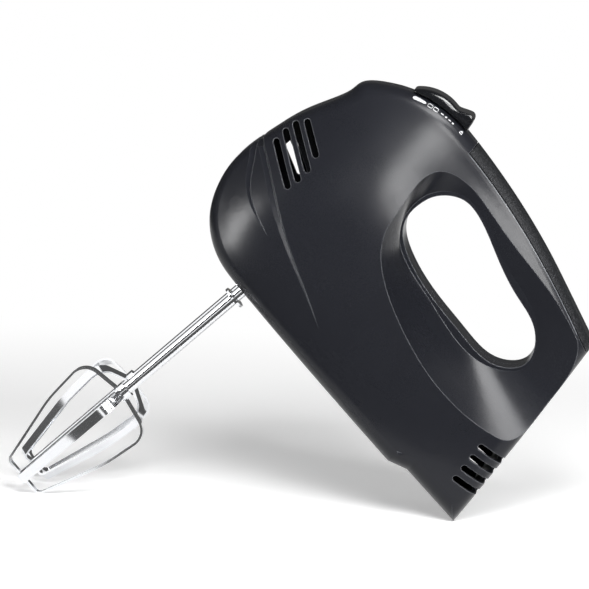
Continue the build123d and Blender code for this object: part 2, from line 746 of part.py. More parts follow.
brush_x = motor_back + 9 + commutator_length / 2
brush_holders, carbon_brushes, brush_springs = {}, {}, {}
for side, sign in sides.items():
    outward = Plane((brush_x, sign * (commutator_r + fit), worm_z), x_dir=(1, 0, 0), z_dir=(0, sign, 0))
    with BuildPart() as carbon:
        with BuildSketch(outward):
            Rectangle(5, 6)
        extrude(amount=7)
    carbon_brushes[side] = carbon
    with BuildPart() as holder:
        with BuildSketch(outward.offset(2)):
            Rectangle(8, 9)
        extrude(amount=12)
        # arm back to the rear bracket
        with BuildSketch(outward.offset(4)):
            with Locations(((bracket_x - brush_x) / 2, 0)):
                Rectangle(bracket_x - brush_x, 9)
        extrude(amount=6)
        with BuildSketch(outward.offset(2)):
            Rectangle(5 + fit, 6 + fit)
        extrude(amount=11, mode=Mode.SUBTRACT)
    brush_holders[side] = holder
    with BuildPart() as brush_spring:
        with BuildSketch(outward.offset(7)):
            Circle(2.0)
            Circle(1.5, mode=Mode.SUBTRACT)
        extrude(amount=6)
    brush_springs[side] = brush_spring


# ---------------------------------------------------------------- ejector
with BuildPart() as ejector:
    with Locations((beater_x, 0, plate_z)):
        Box(12, beater_pitch + 12, 2.6, align=(Align.CENTER, Align.CENTER, Align.MIN))
        Box(6, 4, rod_top - plate_z, align=(Align.CENTER, Align.CENTER, Align.MIN))

ejector_pins = {}
for side, sign in sides.items():
    with BuildPart() as pin:
        with Locations((beater_x, sign * beater_y, shaft_depth)):
            Cylinder(shaft_r, plate_z - shaft_depth, align=(Align.CENTER, Align.CENTER, Align.MIN))
        with Locations((beater_x, sign * beater_y, pin_head_z)):
            Cylinder(4.6, plate_z - pin_head_z, align=(Align.CENTER, Align.CENTER, Align.MIN))
    ejector_pins[side] = pin

with BuildPart() as ejector_spring:
    with BuildSketch(Plane.XY.offset(cover_z + case_thick)):
        with Locations((beater_x, 0)):
            Circle(5.2)
            Circle(4.2, mode=Mode.SUBTRACT)
    extrude(amount=plate_z - cover_z - case_thick)


# ---------------------------------------------------------------- beaters
beater_shafts, beater_cages = {}, {}
for side, sign in sides.items():
    centre = (beater_x, sign * beater_y)
    with BuildPart() as shaft:
        with BuildSketch(Plane.XY.offset(-beater_reach)):
            with Locations(centre):
                Circle(shaft_r)
        extrude(amount=beater_reach + shaft_depth)
        chamfer(shaft.faces().sort_by(Axis.Z)[-1].edges(), 0.8)
        with BuildSketch(Plane.XY.offset(collar_z)):
            with Locations(centre):
                Circle(collar_r)
        extrude(amount=1.2)
    beater_shafts[side] = shaft
    # the right beater stands an eighth turn on, so that the two cages mesh
    turn = 0 if side == "left" else 45
    with BuildPart() as cage:
        for wing in range(4):
            angle = math.radians(turn + 90 * wing)
            wing_plane = Plane((*centre, 0), x_dir=(math.cos(angle), math.sin(angle), 0),
                               z_dir=(math.sin(angle), -math.cos(angle), 0))
            with BuildSketch(wing_plane):
                with BuildLine():
                    FilletPolyline((0, -cage_top), (cage_r + 0.9, -cage_top - 4.3),
                                   (cage_r - 1.8, -cage_top - 30), (foot_r, -beater_reach),
                                   (0, -beater_reach), radius=[9, 60, 3.5])
                    Line((0, -cage_top), (0, -beater_reach))
                make_face()
                offset(amount=-strip_thick, mode=Mode.SUBTRACT)
            extrude(amount=strip_width / 2, both=True)
        with BuildSketch(Plane.XY.offset(-cage_top - 2.5)):
            with Locations(centre):
                Circle(shaft_r + 1.4)
        extrude(amount=5)
        with BuildSketch(Plane.XY.offset(-beater_reach - 1)):
            with Locations(centre):
                Circle(shaft_r)
        extrude(amount=beater_reach, mode=Mode.SUBTRACT)
    beater_cages[side] = cage


# ---------------------------------------------------------------- placing and writing
pieces = {"housing_left": housing_left, "housing_right": housing_right, "handle_cover": handle_cover,
          "housing_screws": housing_screws, "cord_bushing": cord_bushing, "speed_control": speed_control,
          "control_carriage": control_carriage, "speed_switch": speed_switch,
          "gear_case": gear_case, "gear_cover": gear_cover, "cover_screws": cover_screws,
          "armature_shaft": armature_shaft, "front_bush": front_bush, "middle_bush": middle_bush,
          "rear_bush": rear_bush, "cooling_fan": cooling_fan, "armature_core": armature_core,
          "armature_windings": armature_windings, "commutator": commutator, "field_core": field_core,
          "rear_bracket": rear_bracket, "motor_screws": motor_screws, "ejector": ejector,
          "ejector_spring": ejector_spring}
for name, group in (("worm_gear", spindles), ("carbon_brush", carbon_brushes),
                    ("brush_holder", brush_holders), ("brush_spring", brush_springs),
                    ("ejector_pin", ejector_pins), ("beater_shaft", beater_shafts),
                    ("beater_cage", beater_cages), ("field_coil", field_coils)):
    for key, piece in group.items():
        pieces[f"{name}_{key}"] = piece

# the mixer stands on the foot of the left beater's rear strip and on the heel's lower edge
tip = Vector(beater_x + foot_r - 1, 0, -beater_reach)
heel = Vector(heel_x(heel_lift), 0, heel_lift)
stand_angle = math.degrees(math.atan2(heel.Z - tip.Z, heel.X - tip.X))
tilt = Location((0, 0, 0), (0, stand_angle, 0))
floor_z = (tilt * Location(tip)).position.Z
standing = Location((0, 0, -floor_z)) * tilt

# the frame's origin is on the floor, under the middle of the whole
boxes = [piece.part.moved(standing).bounding_box() for piece in pieces.values()]
middle_x = (min(box.min.X for box in boxes) + max(box.max.X for box in boxes)) / 2
standing = Location((-middle_x, 0, 0)) * standing

os.makedirs("parts", exist_ok=True)
for name, piece in pieces.items():
    placed = piece.part.moved(standing)
    placed.label = name
    export_step(placed, f"parts/{name}.step")
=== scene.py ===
import json
import math

import bmesh
import bpy
from mathutils import Matrix, Vector
from mathutils.bvhtree import BVHTree


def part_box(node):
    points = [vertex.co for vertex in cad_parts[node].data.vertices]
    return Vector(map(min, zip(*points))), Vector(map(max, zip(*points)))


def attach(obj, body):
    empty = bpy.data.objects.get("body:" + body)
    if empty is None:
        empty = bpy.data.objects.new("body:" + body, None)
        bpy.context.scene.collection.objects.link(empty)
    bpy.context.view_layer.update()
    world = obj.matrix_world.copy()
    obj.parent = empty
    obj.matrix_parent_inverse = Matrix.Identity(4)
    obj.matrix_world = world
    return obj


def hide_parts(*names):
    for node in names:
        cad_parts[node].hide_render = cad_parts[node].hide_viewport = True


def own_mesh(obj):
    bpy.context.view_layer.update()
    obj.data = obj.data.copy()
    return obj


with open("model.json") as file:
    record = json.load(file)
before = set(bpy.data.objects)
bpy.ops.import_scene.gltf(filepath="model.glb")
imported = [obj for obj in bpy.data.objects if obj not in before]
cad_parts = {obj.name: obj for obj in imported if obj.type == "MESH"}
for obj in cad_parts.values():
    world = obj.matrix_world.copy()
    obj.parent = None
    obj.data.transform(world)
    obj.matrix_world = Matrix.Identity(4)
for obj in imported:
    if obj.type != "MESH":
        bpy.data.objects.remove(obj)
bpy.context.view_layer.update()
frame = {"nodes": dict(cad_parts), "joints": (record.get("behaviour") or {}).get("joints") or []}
nodes = frame["nodes"]
joints = {joint["name"]: joint for joint in frame["joints"]}
print("packed parts:", len(nodes))

# the mixer's own directions and one known point, from the joints
noseToHeel = Vector(joints["motor_spin"]["axis"]).normalized()
upBody = -Vector(joints["ejector_press"]["axis"]).normalized()
across = Vector((0, 1, 0))
gearCentre = Vector(joints["motor_spin"]["pos_m"])
gearCentreAt = (50.6, 0, 32.0)     # the same point in the mixer's own millimetres
crownCentre = (60.0, 70.0)         # x and z of the crown arc's centre


def place(x, y, z):
    # a point given in the mixer's own millimetres: back from the nose, across, up from the base
    dx, dy, dz = (value - start for value, start in zip((x, y, z), gearCentreAt))
    return gearCentre + (dx * noseToHeel + dy * across + dz * upBody) / 1000


def tone(red, green, blue):
    # a colour as it should look, out of 255, as the shader's linear colour
    def linear(value):
        share = value / 255
        return share / 12.92 if share <= 0.04045 else ((share + 0.055) / 1.055) ** 2.4
    return (linear(red), linear(green), linear(blue), 1.0)


# shader sums
class Wire:
    # a socket that takes Python's own sums and adds the Math nodes for them
    def __init__(self, shading, socket):
        self.shading, self.socket = shading, socket

    def sum(self, operation, first, second=0.0):
        return self.shading.add("ShaderNodeMath", {"operation": operation}, {0: first, 1: second})

    def __add__(self, other):
        return self.sum("ADD", self, other)

    def __radd__(self, other):
        return self.sum("ADD", other, self)

    def __sub__(self, other):
        return self.sum("SUBTRACT", self, other)

    def __rsub__(self, other):
        return self.sum("SUBTRACT", other, self)

    def __mul__(self, other):
        return self.sum("MULTIPLY", self, other)

    def __rmul__(self, other):
        return self.sum("MULTIPLY", other, self)

    def __abs__(self):
        return self.sum("ABSOLUTE", self)

    def most(self, other):
        return self.sum("MAXIMUM", self, other)

    def round(self, low, high, start=0.0, end=1.0):
        # a smooth step from start to end as the value goes from low to high
        return self.shading.add("ShaderNodeMapRange", {"interpolation_type": "SMOOTHSTEP"},
                                {0: self, 1: low, 2: high, 3: start, 4: end})


class Shading:
    # a node tree, with one method that adds any node to it
    def __init__(self, tree):
        self.tree = tree

    def add(self, kind, settings=None, inputs=None, out=0):
        node = self.tree.nodes.new(kind)
        for name, value in (settings or {}).items():
            setattr(node, name, value)
        for name, value in (inputs or {}).items():
            self.feed(node.inputs[name], value)
        return Wire(self, node.outputs[out])

    def feed(self, socket, value):
        if isinstance(value, Wire):
            self.tree.links.new(value.socket, socket)
        else:
            socket.default_value = value

    def mix(self, factor, first, second):
        # sockets 6 and 7 are the node's two colours, and output 2 its colour
        return self.add("ShaderNodeMix", {"data_type": "RGBA"},
                        {0: factor, 6: first, 7: second}, 2)

    def vector(self, operation, first, second, out=0):
        return self.add("ShaderNodeVectorMath", {"operation": operation},
                        {0: first, 1: second}, out)


class Finish(Shading):
    # one material: object coordinates in, a principled shader out
    def __init__(self, name, **fixed):
        self.material = bpy.data.materials.new(name)
        self.material.use_nodes = True
        super().__init__(self.material.node_tree)
        self.shader = self.tree.nodes["Principled BSDF"]
        self.at = self.add("ShaderNodeTexCoord", out="Object")
        for key, value in fixed.items():
            self.shader.inputs[key.replace("_", " ")].default_value = value

    def along(self, direction, start=(0, 0, 0)):
        # distance from start in one direction, in metres
        moved = self.vector("SUBTRACT", self.at, tuple(start))
        return self.vector("DOT_PRODUCT", moved, tuple(direction), "Value")

    def own(self, xScale=1.0, yScale=1.0, zScale=1.0):
        # the mixer's own directions as a vector: nose to heel, across, up the body
        return self.add("ShaderNodeCombineXYZ", {}, {0: self.along(noseToHeel) * xScale,
                                                     1: self.along(across) * yScale,
                                                     2: self.along(upBody) * zScale})

    def noise(self, scale, detail=2.0, rough=0.5, at=None):
        return self.add("ShaderNodeTexNoise", {}, {"Vector": at or self.at, "Scale": scale,
                                                   "Detail": detail, "Roughness": rough})

    def cells(self, scale):
        return self.add("ShaderNodeTexVoronoi", {"feature": "F1"},
                        {"Vector": self.at, "Scale": scale})

    def softened(self, radius):
        # normals rounded over an edge, for edges the parts leave sharp
        return self.add("ShaderNodeBevel", {"samples": 6}, {"Radius": radius})

    def edges(self, radius, strength=0.12):
        # 1 along edges, where the rounded normal leaves the real one
        real = self.add("ShaderNodeNewGeometry", out="Normal")
        turned = 1 - self.vector("DOT_PRODUCT", self.softened(radius), real, "Value")
        return turned.round(0.01, strength)

    def relief(self, height, distance, strength=1.0, under=None):
        inputs = {"Height": height, "Distance": distance, "Strength": strength}
        if under:
            inputs["Normal"] = under
        return self.add("ShaderNodeBump", {}, inputs)

    def give(self, **links):
        for key, value in links.items():
            self.feed(self.shader.inputs[key.replace("_", " ")], value)
        return self.material


def dress(material, *names):
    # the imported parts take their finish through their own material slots
    for name in names:
        for slot in nodes[name].material_slots:
            slot.material = material


def joinedCopy(name, sharpAngle=38):
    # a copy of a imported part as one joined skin, shaded smooth up to the given angle
    mesh = nodes[name].data.copy()
    for attribute in [each for each in mesh.attributes if each.name == "custom_normal"]:
        mesh.attributes.remove(attribute)
    work = bmesh.new()
    work.from_mesh(mesh)
    bmesh.ops.remove_doubles(work, verts=work.verts, dist=0.000002)
    for face in work.faces:
        face.smooth, face.material_index = True, 0
    for edge in work.edges:
        angle = edge.calc_face_angle(math.pi)
        edge.smooth = len(edge.link_faces) == 2 and angle < math.radians(sharpAngle)
    work.to_mesh(mesh)
    work.free()
    mesh.materials.clear()
    piece = bpy.data.objects.new(name + "_smooth", mesh)
    bpy.context.scene.collection.objects.link(piece)
    return piece


def softenedCopy(name, voxel, passes):
    # the same, rounded all over as a moulded knob is
    piece = joinedCopy(name, 180)
    remesh = piece.modifiers.new("remesh", "REMESH")
    remesh.mode, remesh.voxel_size, remesh.use_smooth_shade = "VOXEL", voxel, True
    smooth = piece.modifiers.new("smooth", "SMOOTH")
    smooth.factor, smooth.iterations = 0.5, passes
    bpy.context.view_layer.update()
    rounded = piece.evaluated_get(bpy.context.evaluated_depsgraph_get())
    mesh = bpy.data.meshes.new_from_object(rounded)
    piece.modifiers.clear()
    piece.data = mesh
    mesh.materials.clear()
    return piece


def standIn(piece, name, material, body):
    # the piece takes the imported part's place
    piece.data.materials.append(material)
    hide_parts(name)
    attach(piece, body)
    return piece


# outer plastics
charcoal = {
    # worn is the pale tone of the painted highlights on the edges, the parting line and the band
    # below the cover, partly rubbed wear on the edges
    "dark": tone(23, 24, 28), "pale": tone(29, 30, 35), "worn": tone(112, 114, 118),
    "roughness": 0.26, "roughnessSpread": 0.03, "edgeWearAndHighlight": 0.0007,
    "grain": 3200, "grainDepth": 0.000012,
    "edge": 0.0005,
    "seam": 0.00022,        # half width of the parting line between the halves
    # the back cover's lower line, x and z of three places on it, and the width of the painted
    # highlight, a pale band just below it
    "coverLine": ((71, 125.7), (119.3, 120.7), (172, 108.8)), "lipHighlight": 0.0005,
    "lipHighlightStart": 71.5, "lipHighlightLength": 0.0995,
}


def arcThrough(first, second, third):
    # centre and radius of the circle through three places
    (ax, az), (bx, bz), (cx, cz) = first, second, third
    turn = 2 * (ax * (bz - cz) + bx * (cz - az) + cx * (az - bz))
    a, b, c = (x * x + z * z for x, z in (first, second, third))
    x = (a * (bz - cz) + b * (cz - az) + c * (az - bz)) / turn
    z = (a * (cx - bx) + b * (ax - cx) + c * (bx - ax)) / turn
    return x, z, math.hypot(ax - x, az - z)


def makeCharcoal(values):
    finish = Finish("charcoal shell", IOR=1.5, Specular_IOR_Level=0.22)
    broad = finish.noise(14, 3)
    mottle = finish.noise(900, 2)
    spark = finish.noise(values["grain"], 3, 0.6)
    rubbed = finish.noise(60, 5, 0.65, finish.own(0.35, 1, 1))
    offSeam = abs(finish.along(across))
    seam = offSeam.round(values["seam"] * 0.4, values["seam"], 1, 0)
    colour = finish.mix(broad * 0.6 + mottle * 0.4, values["dark"], values["pale"])
    x, z, radius = arcThrough(*values["coverLine"])
    centre = place(x, 0, z)
    fromCentre = finish.vector("SUBTRACT", finish.own(1, 0, 1),
                               (centre.dot(noseToHeel), 0, centre.dot(upBody)))
    below = radius / 1000 - finish.vector("LENGTH", fromCentre, (0, 0, 0), "Value")
    # a thin band just below the back cover's line, painted pale: a painted highlight along the
    # cover's edge
    lipHighlight = (abs(below - values["lipHighlight"] * 0.5)).round(values["lipHighlight"] * 0.3, values["lipHighlight"] * 0.55, 1, 0)
    back, length = finish.along(noseToHeel, place(values["lipHighlightStart"], 0, 0)), values["lipHighlightLength"]
    lipHighlight = lipHighlight * back.round(0, 0.002) * (1 - back.round(length - 0.001, length))
    # pale edges: a painted highlight along every edge of the shell, partly rubbed wear, joined
    # with the painted highlight below the cover
    worn = finish.edges(values["edgeWearAndHighlight"]).most(lipHighlight)
    # the parting line, the edges and the band below the cover are painted toward the pale tone:
    # painted highlights, partly rubbed wear on the edges
    colour = finish.mix((seam * 0.4).most(worn * (0.55 + broad * 0.3)), colour, values["worn"])
    height = spark * 0.7 + mottle * 0.5 - seam * 4
    roughness = (values["roughness"] + values["roughnessSpread"] * (broad - 0.5) * 2
                 + rubbed.round(0.55, 0.8, 0, 0.05) + spark * 0.03)
    normal = finish.relief(height, values["grainDepth"], 0.8, finish.softened(values["edge"]))
    return finish.give(Base_Color=colour, Roughness=roughness, Normal=normal)


gripSkin = {
    "dark": tone(15, 16, 18), "pale": tone(62, 63, 66),
    "roughness": 0.5,
    "grain": 1150, "grainDepth": 0.00012,
    "edge": 0.0004,
}


def makeGripSkin(values):
    finish = Finish("grained cover", IOR=1.5, Specular_IOR_Level=0.18)
    pebbles = finish.cells(values["grain"])
    fine = finish.noise(2600, 3)
    broad = finish.noise(22, 3)
    tops = pebbles.round(0.15, 0.6, 1, 0)
    # the pebbles' tops are painted paler than the hollows: a painted highlight on the grain, over
    # speckled tone
    colour = finish.mix(tops * 0.3 + fine.round(0.5, 0.72) * 0.45 + broad * 0.1,
                        values["dark"], values["pale"])
    height = tops + fine * 0.5
    roughness = values["roughness"] - tops * 0.08 + broad * 0.06
    normal = finish.relief(height, values["grainDepth"], 0.9, finish.softened(values["edge"]))
    return finish.give(Base_Color=colour, Roughness=roughness, Normal=normal)


glossBlack = {
    "dark": tone(11, 12, 14), "pale": tone(18, 19, 22),
    "roughness": 0.13,
    "edge": 0.0009,
    "voxel": 0.0004, "passes": 60,      # how finely the knob is rounded, and how far
}


def makeGlossBlack(values):
    finish = Finish("gloss control", IOR=1.5)
    broad = finish.noise(40, 3)
    hairs = finish.noise(700, 4, 0.6, finish.own(0.2, 1, 1))
    colour = finish.mix(broad, values["dark"], values["pale"])
    roughness = values["roughness"] + hairs.round(0.5, 0.75, 0, 0.08) + broad * 0.03
    normal = finish.relief(broad * 3 + hairs * 0.2, 0.00004, 0.6, finish.softened(values["edge"]))
    return finish.give(Base_Color=colour, Roughness=roughness, Normal=normal)


rubberBlack = {"dark": tone(22, 22, 23), "pale": tone(44, 44, 45), "roughness": 0.62}


def makeRubber(values):
    finish = Finish("black rubber", IOR=1.48, Specular_IOR_Level=0.4)
    broad = finish.noise(60, 4)
    fine = finish.noise(2600, 3)
    bloom = finish.noise(280, 5).round(0.5, 0.8)
    colour = finish.mix(broad * 0.3 + bloom * 0.4, values["dark"], values["pale"])
    roughness = values["roughness"] + bloom * 0.15
    normal = finish.relief(fine + broad, 0.00003, 0.8, finish.softened(0.0004))
    return finish.give(Base_Color=colour, Roughness=roughness, Normal=normal)


shellFinish = makeCharcoal(charcoal)
dress(shellFinish, "housing_left", "housing_right")
dress(makeGripSkin(gripSkin), "handle_cover")
standIn(softenedCopy("speed_control", glossBlack["voxel"], glossBlack["passes"]), "speed_control",
        makeGlossBlack(glossBlack), "control")
dress(makeRubber(rubberBlack), "cord_bushing")

# the plate inside the nose that turns the fan's air to the slots, in the mixer's own millimetres
airBaffle = {
    "outline": ((4.2, 60), (11, 58.8), (11, 65.4), (30, 57.5), (30, 76), (12, 78.5), (7.2, 77),
                (5.8, 71), (4.8, 65)),
    "from": 4.5, "to": 5.9,
}


def makeBaffle(values):
    outline, count = values["outline"], len(values["outline"])
    points = [place(x, side, z) for side in (values["from"], values["to"]) for x, z in outline]
    faces = [tuple(range(count)), tuple(reversed(range(count, 2 * count)))]
    faces += [(i, i + count, (i + 1) % count + count, (i + 1) % count) for i in range(count)]
    mesh = bpy.data.meshes.new("airBaffle")
    mesh.from_pydata(points, [], faces)
    work = bmesh.new()
    work.from_mesh(mesh)
    bmesh.ops.recalc_face_normals(work, faces=work.faces)
    work.to_mesh(mesh)
    work.free()
    mesh.materials.append(shellFinish)
    piece = bpy.data.objects.new("airBaffle", mesh)
    bpy.context.scene.collection.objects.link(piece)
    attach(piece, "housing")


makeBaffle(airBaffle)
print("outer plastics done")

# chrome, steel and the other metals
chrome = {
    "bright": tone(236, 237, 239), "dull": tone(196, 198, 202),
    "roughness": 0.07,
    "drawn": 5200,          # fineness of the lines left by drawing the wire
}


def makeChrome(values, name, lineScales, roughness):
    # the drawn lines follow the shaft; the strips' lines also run nearly along it
    finish = Finish(name, Metallic=1.0)
    lines = finish.noise(values["drawn"], 2, 0.6, finish.own(*lineScales))
    clouds = finish.noise(70, 4)
    spots = finish.noise(900, 4).round(0.64, 0.78)
    colour = finish.mix(lines * 0.3 + clouds * 0.2 + spots * 0.4, values["bright"], values["dull"])
    rough = roughness + lines * 0.05 + clouds * 0.04 + spots * 0.12
    normal = finish.relief(clouds, 0.000004, 0.3)
    return finish.give(Base_Color=colour, Roughness=rough, Normal=normal)


zincSteel = {"bright": tone(206, 208, 206), "dull": tone(150, 152, 150), "roughness": 0.3}


def makePlatedSteel(values, name, direction):
    finish = Finish(name, Metallic=1.0)
    turned = finish.add("ShaderNodeTexWave", {"bands_direction": "X"},
                        {"Vector": finish.vector("MULTIPLY", direction(finish), (1, 0, 0)),
                         "Scale": 900, "Distortion": 1.5, "Detail": 2.0})
    clouds = finish.noise(180, 4)
    tarnish = finish.noise(600, 5).round(0.55, 0.8)
    colour = finish.mix(clouds * 0.4 + tarnish * 0.5, values["bright"], values["dull"])
    rough = values["roughness"] + tarnish * 0.15 + clouds * 0.06
    normal = finish.relief(turned + clouds, 0.00001, 0.8)
    return finish.give(Base_Color=colour, Roughness=rough, Normal=normal)


bronze = {"bright": tone(186, 140, 92), "dull": tone(116, 82, 50), "roughness": 0.42}


def makeSinteredBronze(values):
    finish = Finish("sintered bronze", Metallic=1.0)
    pores = finish.cells(5200).round(0.1, 0.35, 1, 0)
    clouds = finish.noise(240, 4)
    oil = finish.noise(90, 3).round(0.45, 0.7)
    colour = finish.mix(pores * 0.6 + clouds * 0.3, values["bright"], values["dull"])
    rough = values["roughness"] - oil * 0.15 + pores * 0.2
    normal = finish.relief(1 - pores, 0.00004)
    return finish.give(Base_Color=colour, Roughness=rough, Normal=normal)


brass = {"bright": tone(214, 178, 102), "dull": tone(150, 114, 56), "roughness": 0.28}


def makeBrass(values):
    finish = Finish("stamped brass", Metallic=1.0)
    rolled = finish.noise(3000, 2, 0.5, finish.own(0.05, 1, 1))
    tarnish = finish.noise(420, 5).round(0.5, 0.75)
    colour = finish.mix(rolled * 0.2 + tarnish * 0.5, values["bright"], values["dull"])
    rough = values["roughness"] + tarnish * 0.18
    return finish.give(Base_Color=colour, Roughness=rough, Normal=finish.relief(rolled, 0.00001))


lamination = {"steel": tone(122, 124, 126), "gap": tone(42, 42, 44), "sheet": 0.0005}


def makeLamination(values, name, stain):
    # sheets half a millimetre thick, stacked along the motor's shaft
    finish = Finish(name, Metallic=1.0)
    sheets = finish.add("ShaderNodeMath", {"operation": "PINGPONG"},
                        {0: finish.along(noseToHeel), 1: values["sheet"] / 2})
    gap = sheets.round(0, values["sheet"] * 0.12, 1, 0)
    stains = finish.noise(160, 5).round(0.4, 0.75)
    colour = finish.mix(stains * 0.5, values["steel"], stain)
    colour = finish.mix(gap * 0.8, colour, values["gap"])
    rough = 0.38 + stains * 0.2 + gap * 0.15
    return finish.give(Base_Color=colour, Roughness=rough, Normal=finish.relief(1 - gap, 0.00008))


winding = {
    # bright is the painted highlight on the turns' crowns, and dark the painted shade in the dips
    # between them
    "bright": tone(188, 96, 44), "dark": tone(84, 34, 14),
    "wire": 0.00035, "radius": 0.009,       # one turn's width, and the rotor coil's middle
}


def makeWinding(values, name, direction):
    # enamelled wire laid side by side, with the dips between turns painted dark and the crowns
    # painted light: painted shade and painted highlight
    finish = Finish(name, Metallic=0.75, Coat_Weight=0.5, Coat_Roughness=0.12)
    wander = finish.noise(260, 2) * values["wire"] * 1.4
    turns = finish.add("ShaderNodeMath", {"operation": "PINGPONG"},
                       {0: direction(finish) + wander, 1: values["wire"] / 2})
    crown = turns.round(0, values["wire"] * 0.5)
    varnish = finish.noise(120, 4)
    # painted highlight on each turn's crown and painted shade in the dips between turns
    colour = finish.mix(crown * 0.8 + varnish * 0.2, values["dark"], values["bright"])
    rough = 0.3 + varnish * 0.15 - crown * 0.05
    return finish.give(Base_Color=colour, Roughness=rough, Normal=finish.relief(crown, 0.00016))


commutatorCopper = {"bright": tone(206, 132, 88), "worn": tone(108, 62, 44)}


def makeCommutator(values):
    # the brushes polish a dark track round the middle of the bars
    finish = Finish("commutator copper", Metallic=1.0)
    low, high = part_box("commutator")
    track = abs(finish.along(noseToHeel, (low + high) / 2)).round(0.0024, 0.0034, 1, 0)
    rings = finish.noise(4200, 2, 0.5, finish.own(1, 0.03, 0.03))
    soot = finish.noise(300, 5).round(0.45, 0.75)
    colour = finish.mix(track * 0.6 + rings * 0.2 + soot * 0.2, values["bright"], values["worn"])
    rough = 0.24 + soot * 0.2 - track * 0.08
    return finish.give(Base_Color=colour, Roughness=rough, Normal=finish.relief(rings, 0.00002))


graphite = {"dark": tone(32, 32, 35), "pale": tone(84, 84, 88)}


def makeGraphite(values):
    finish = Finish("brush carbon", Metallic=0.35)
    flakes = finish.cells(3600)
    smear = finish.noise(500, 4, 0.6, finish.own(1, 0.15, 1))
    colour = finish.mix(flakes * 0.3 + smear * 0.4, values["dark"], values["pale"])
    rough = 0.5 - smear * 0.12
    return finish.give(Base_Color=colour, Roughness=rough, Normal=finish.relief(flakes, 0.00003))


def alongShaft(finish):
    return finish.own()


def acrossCoil(finish):
    return finish.along(upBody)


def roundRotor(finish):
    # angle round the motor's shaft, turned into a length at the coil's middle
    height, width = finish.along(upBody, gearCentre), finish.along(across)
    angle = finish.add("ShaderNodeMath", {"operation": "ARCTAN2"}, {0: height, 1: width})
    return angle * winding["radius"]


shaftChrome = makeChrome(chrome, "chrome shaft", (0.06, 0.06, 0.004), chrome["roughness"])
stripChrome = makeChrome(chrome, "chrome strip", (1, 1, 0.02), chrome["roughness"] + 0.03)
plated = makePlatedSteel(zincSteel, "plated steel", alongShaft)
chromed = [standIn(joinedCopy("beater_" + part + "_" + side), "beater_" + part + "_" + side,
                   material, "beater_" + side)
           for part, material in (("shaft", shaftChrome), ("cage", stripChrome))
           for side in ("left", "right")]
dress(plated, "cover_screws", "motor_screws", "housing_screws", "ejector_pin_left",
      "ejector_pin_right", "armature_shaft")
dress(makeSinteredBronze(bronze), "front_bush", "middle_bush", "rear_bush")
dress(makeBrass(brass), "brush_holder_left", "brush_holder_right")
dress(makeLamination(lamination, "stator sheets", tone(92, 70, 52)), "field_core")
dress(makeLamination(lamination, "rotor sheets", tone(70, 66, 64)), "armature_core")
dress(makeWinding(winding, "field wire", acrossCoil), "field_coil_upper", "field_coil_lower")
dress(makeWinding(winding, "rotor wire", roundRotor), "armature_windings")
dress(makeCommutator(commutatorCopper), "commutator")
dress(makeGraphite(graphite), "carbon_brush_left", "carbon_brush_right")
print("metals done")

# inner plastics
innerPlastics = {
    "filled nylon": {"dark": tone(92, 94, 96), "pale": tone(128, 130, 130), "roughness": 0.5},
    "natural acetal": {"dark": tone(206, 200, 184), "pale": tone(230, 226, 212),
                       "roughness": 0.36},
    "black phenolic": {"dark": tone(24, 23, 22), "pale": tone(46, 44, 42), "roughness": 0.4},
    "greased gear": {"dark": tone(196, 182, 142), "pale": tone(228, 220, 192), "roughness": 0.3},
}


def makeInnerPlastic(name, values):
    finish = Finish(name, IOR=1.5)
    flow = finish.noise(36, 4, 0.55, finish.own(1, 1, 2.4))
    fibres = finish.noise(1500, 3, 0.6, finish.own(0.25, 1, 1))
    pits = finish.cells(2200).round(0.05, 0.2, 1, 0)
    colour = finish.mix(flow * 0.6 + fibres * 0.35, values["dark"], values["pale"])
    rough = values["roughness"] + fibres * 0.1 + pits * 0.1
    normal = finish.relief(fibres - pits, 0.00003, 0.7, finish.softened(0.0003))
    return finish.give(Base_Color=colour, Roughness=rough, Normal=normal)


inner = {name: makeInnerPlastic(name, values) for name, values in innerPlastics.items()}
dress(inner["filled nylon"], "gear_case", "gear_cover", "rear_bracket")
dress(inner["natural acetal"], "ejector", "control_carriage", "cooling_fan")
dress(inner["black phenolic"], "speed_switch")
dress(inner["greased gear"], "worm_gear_left", "worm_gear_right")
print("inner plastics done")


# coil springs
springSteel = {"bright": tone(176, 178, 182), "dark": tone(104, 104, 108), "roughness": 0.26}


def makeSpringSteel(values):
    finish = Finish("spring wire", Metallic=1.0)
    drawn = finish.noise(2400, 3, 0.6)
    blue = finish.noise(150, 4).round(0.4, 0.7)
    colour = finish.mix(drawn * 0.4 + blue * 0.3, values["bright"], values["dark"])
    rough = values["roughness"] + drawn * 0.1
    return finish.give(Base_Color=colour, Roughness=rough, Normal=finish.relief(drawn, 0.00001))


springWire = makeSpringSteel(springSteel)
springs = {
    "ejectorCoil": {"node": "ejector_spring", "start": (50.6, 0, 47.0), "length": 0.011,
                    "radius": 0.0047, "wire": 0.0005, "turns": 5.0},
    "brushCoilLeft": {"node": "brush_spring_left", "length": 0.006,
                      "radius": 0.00175, "wire": 0.00022, "turns": 7.0},
    "brushCoilRight": {"node": "brush_spring_right", "length": 0.006,
                       "radius": 0.00175, "wire": 0.00022, "turns": 7.0},
}


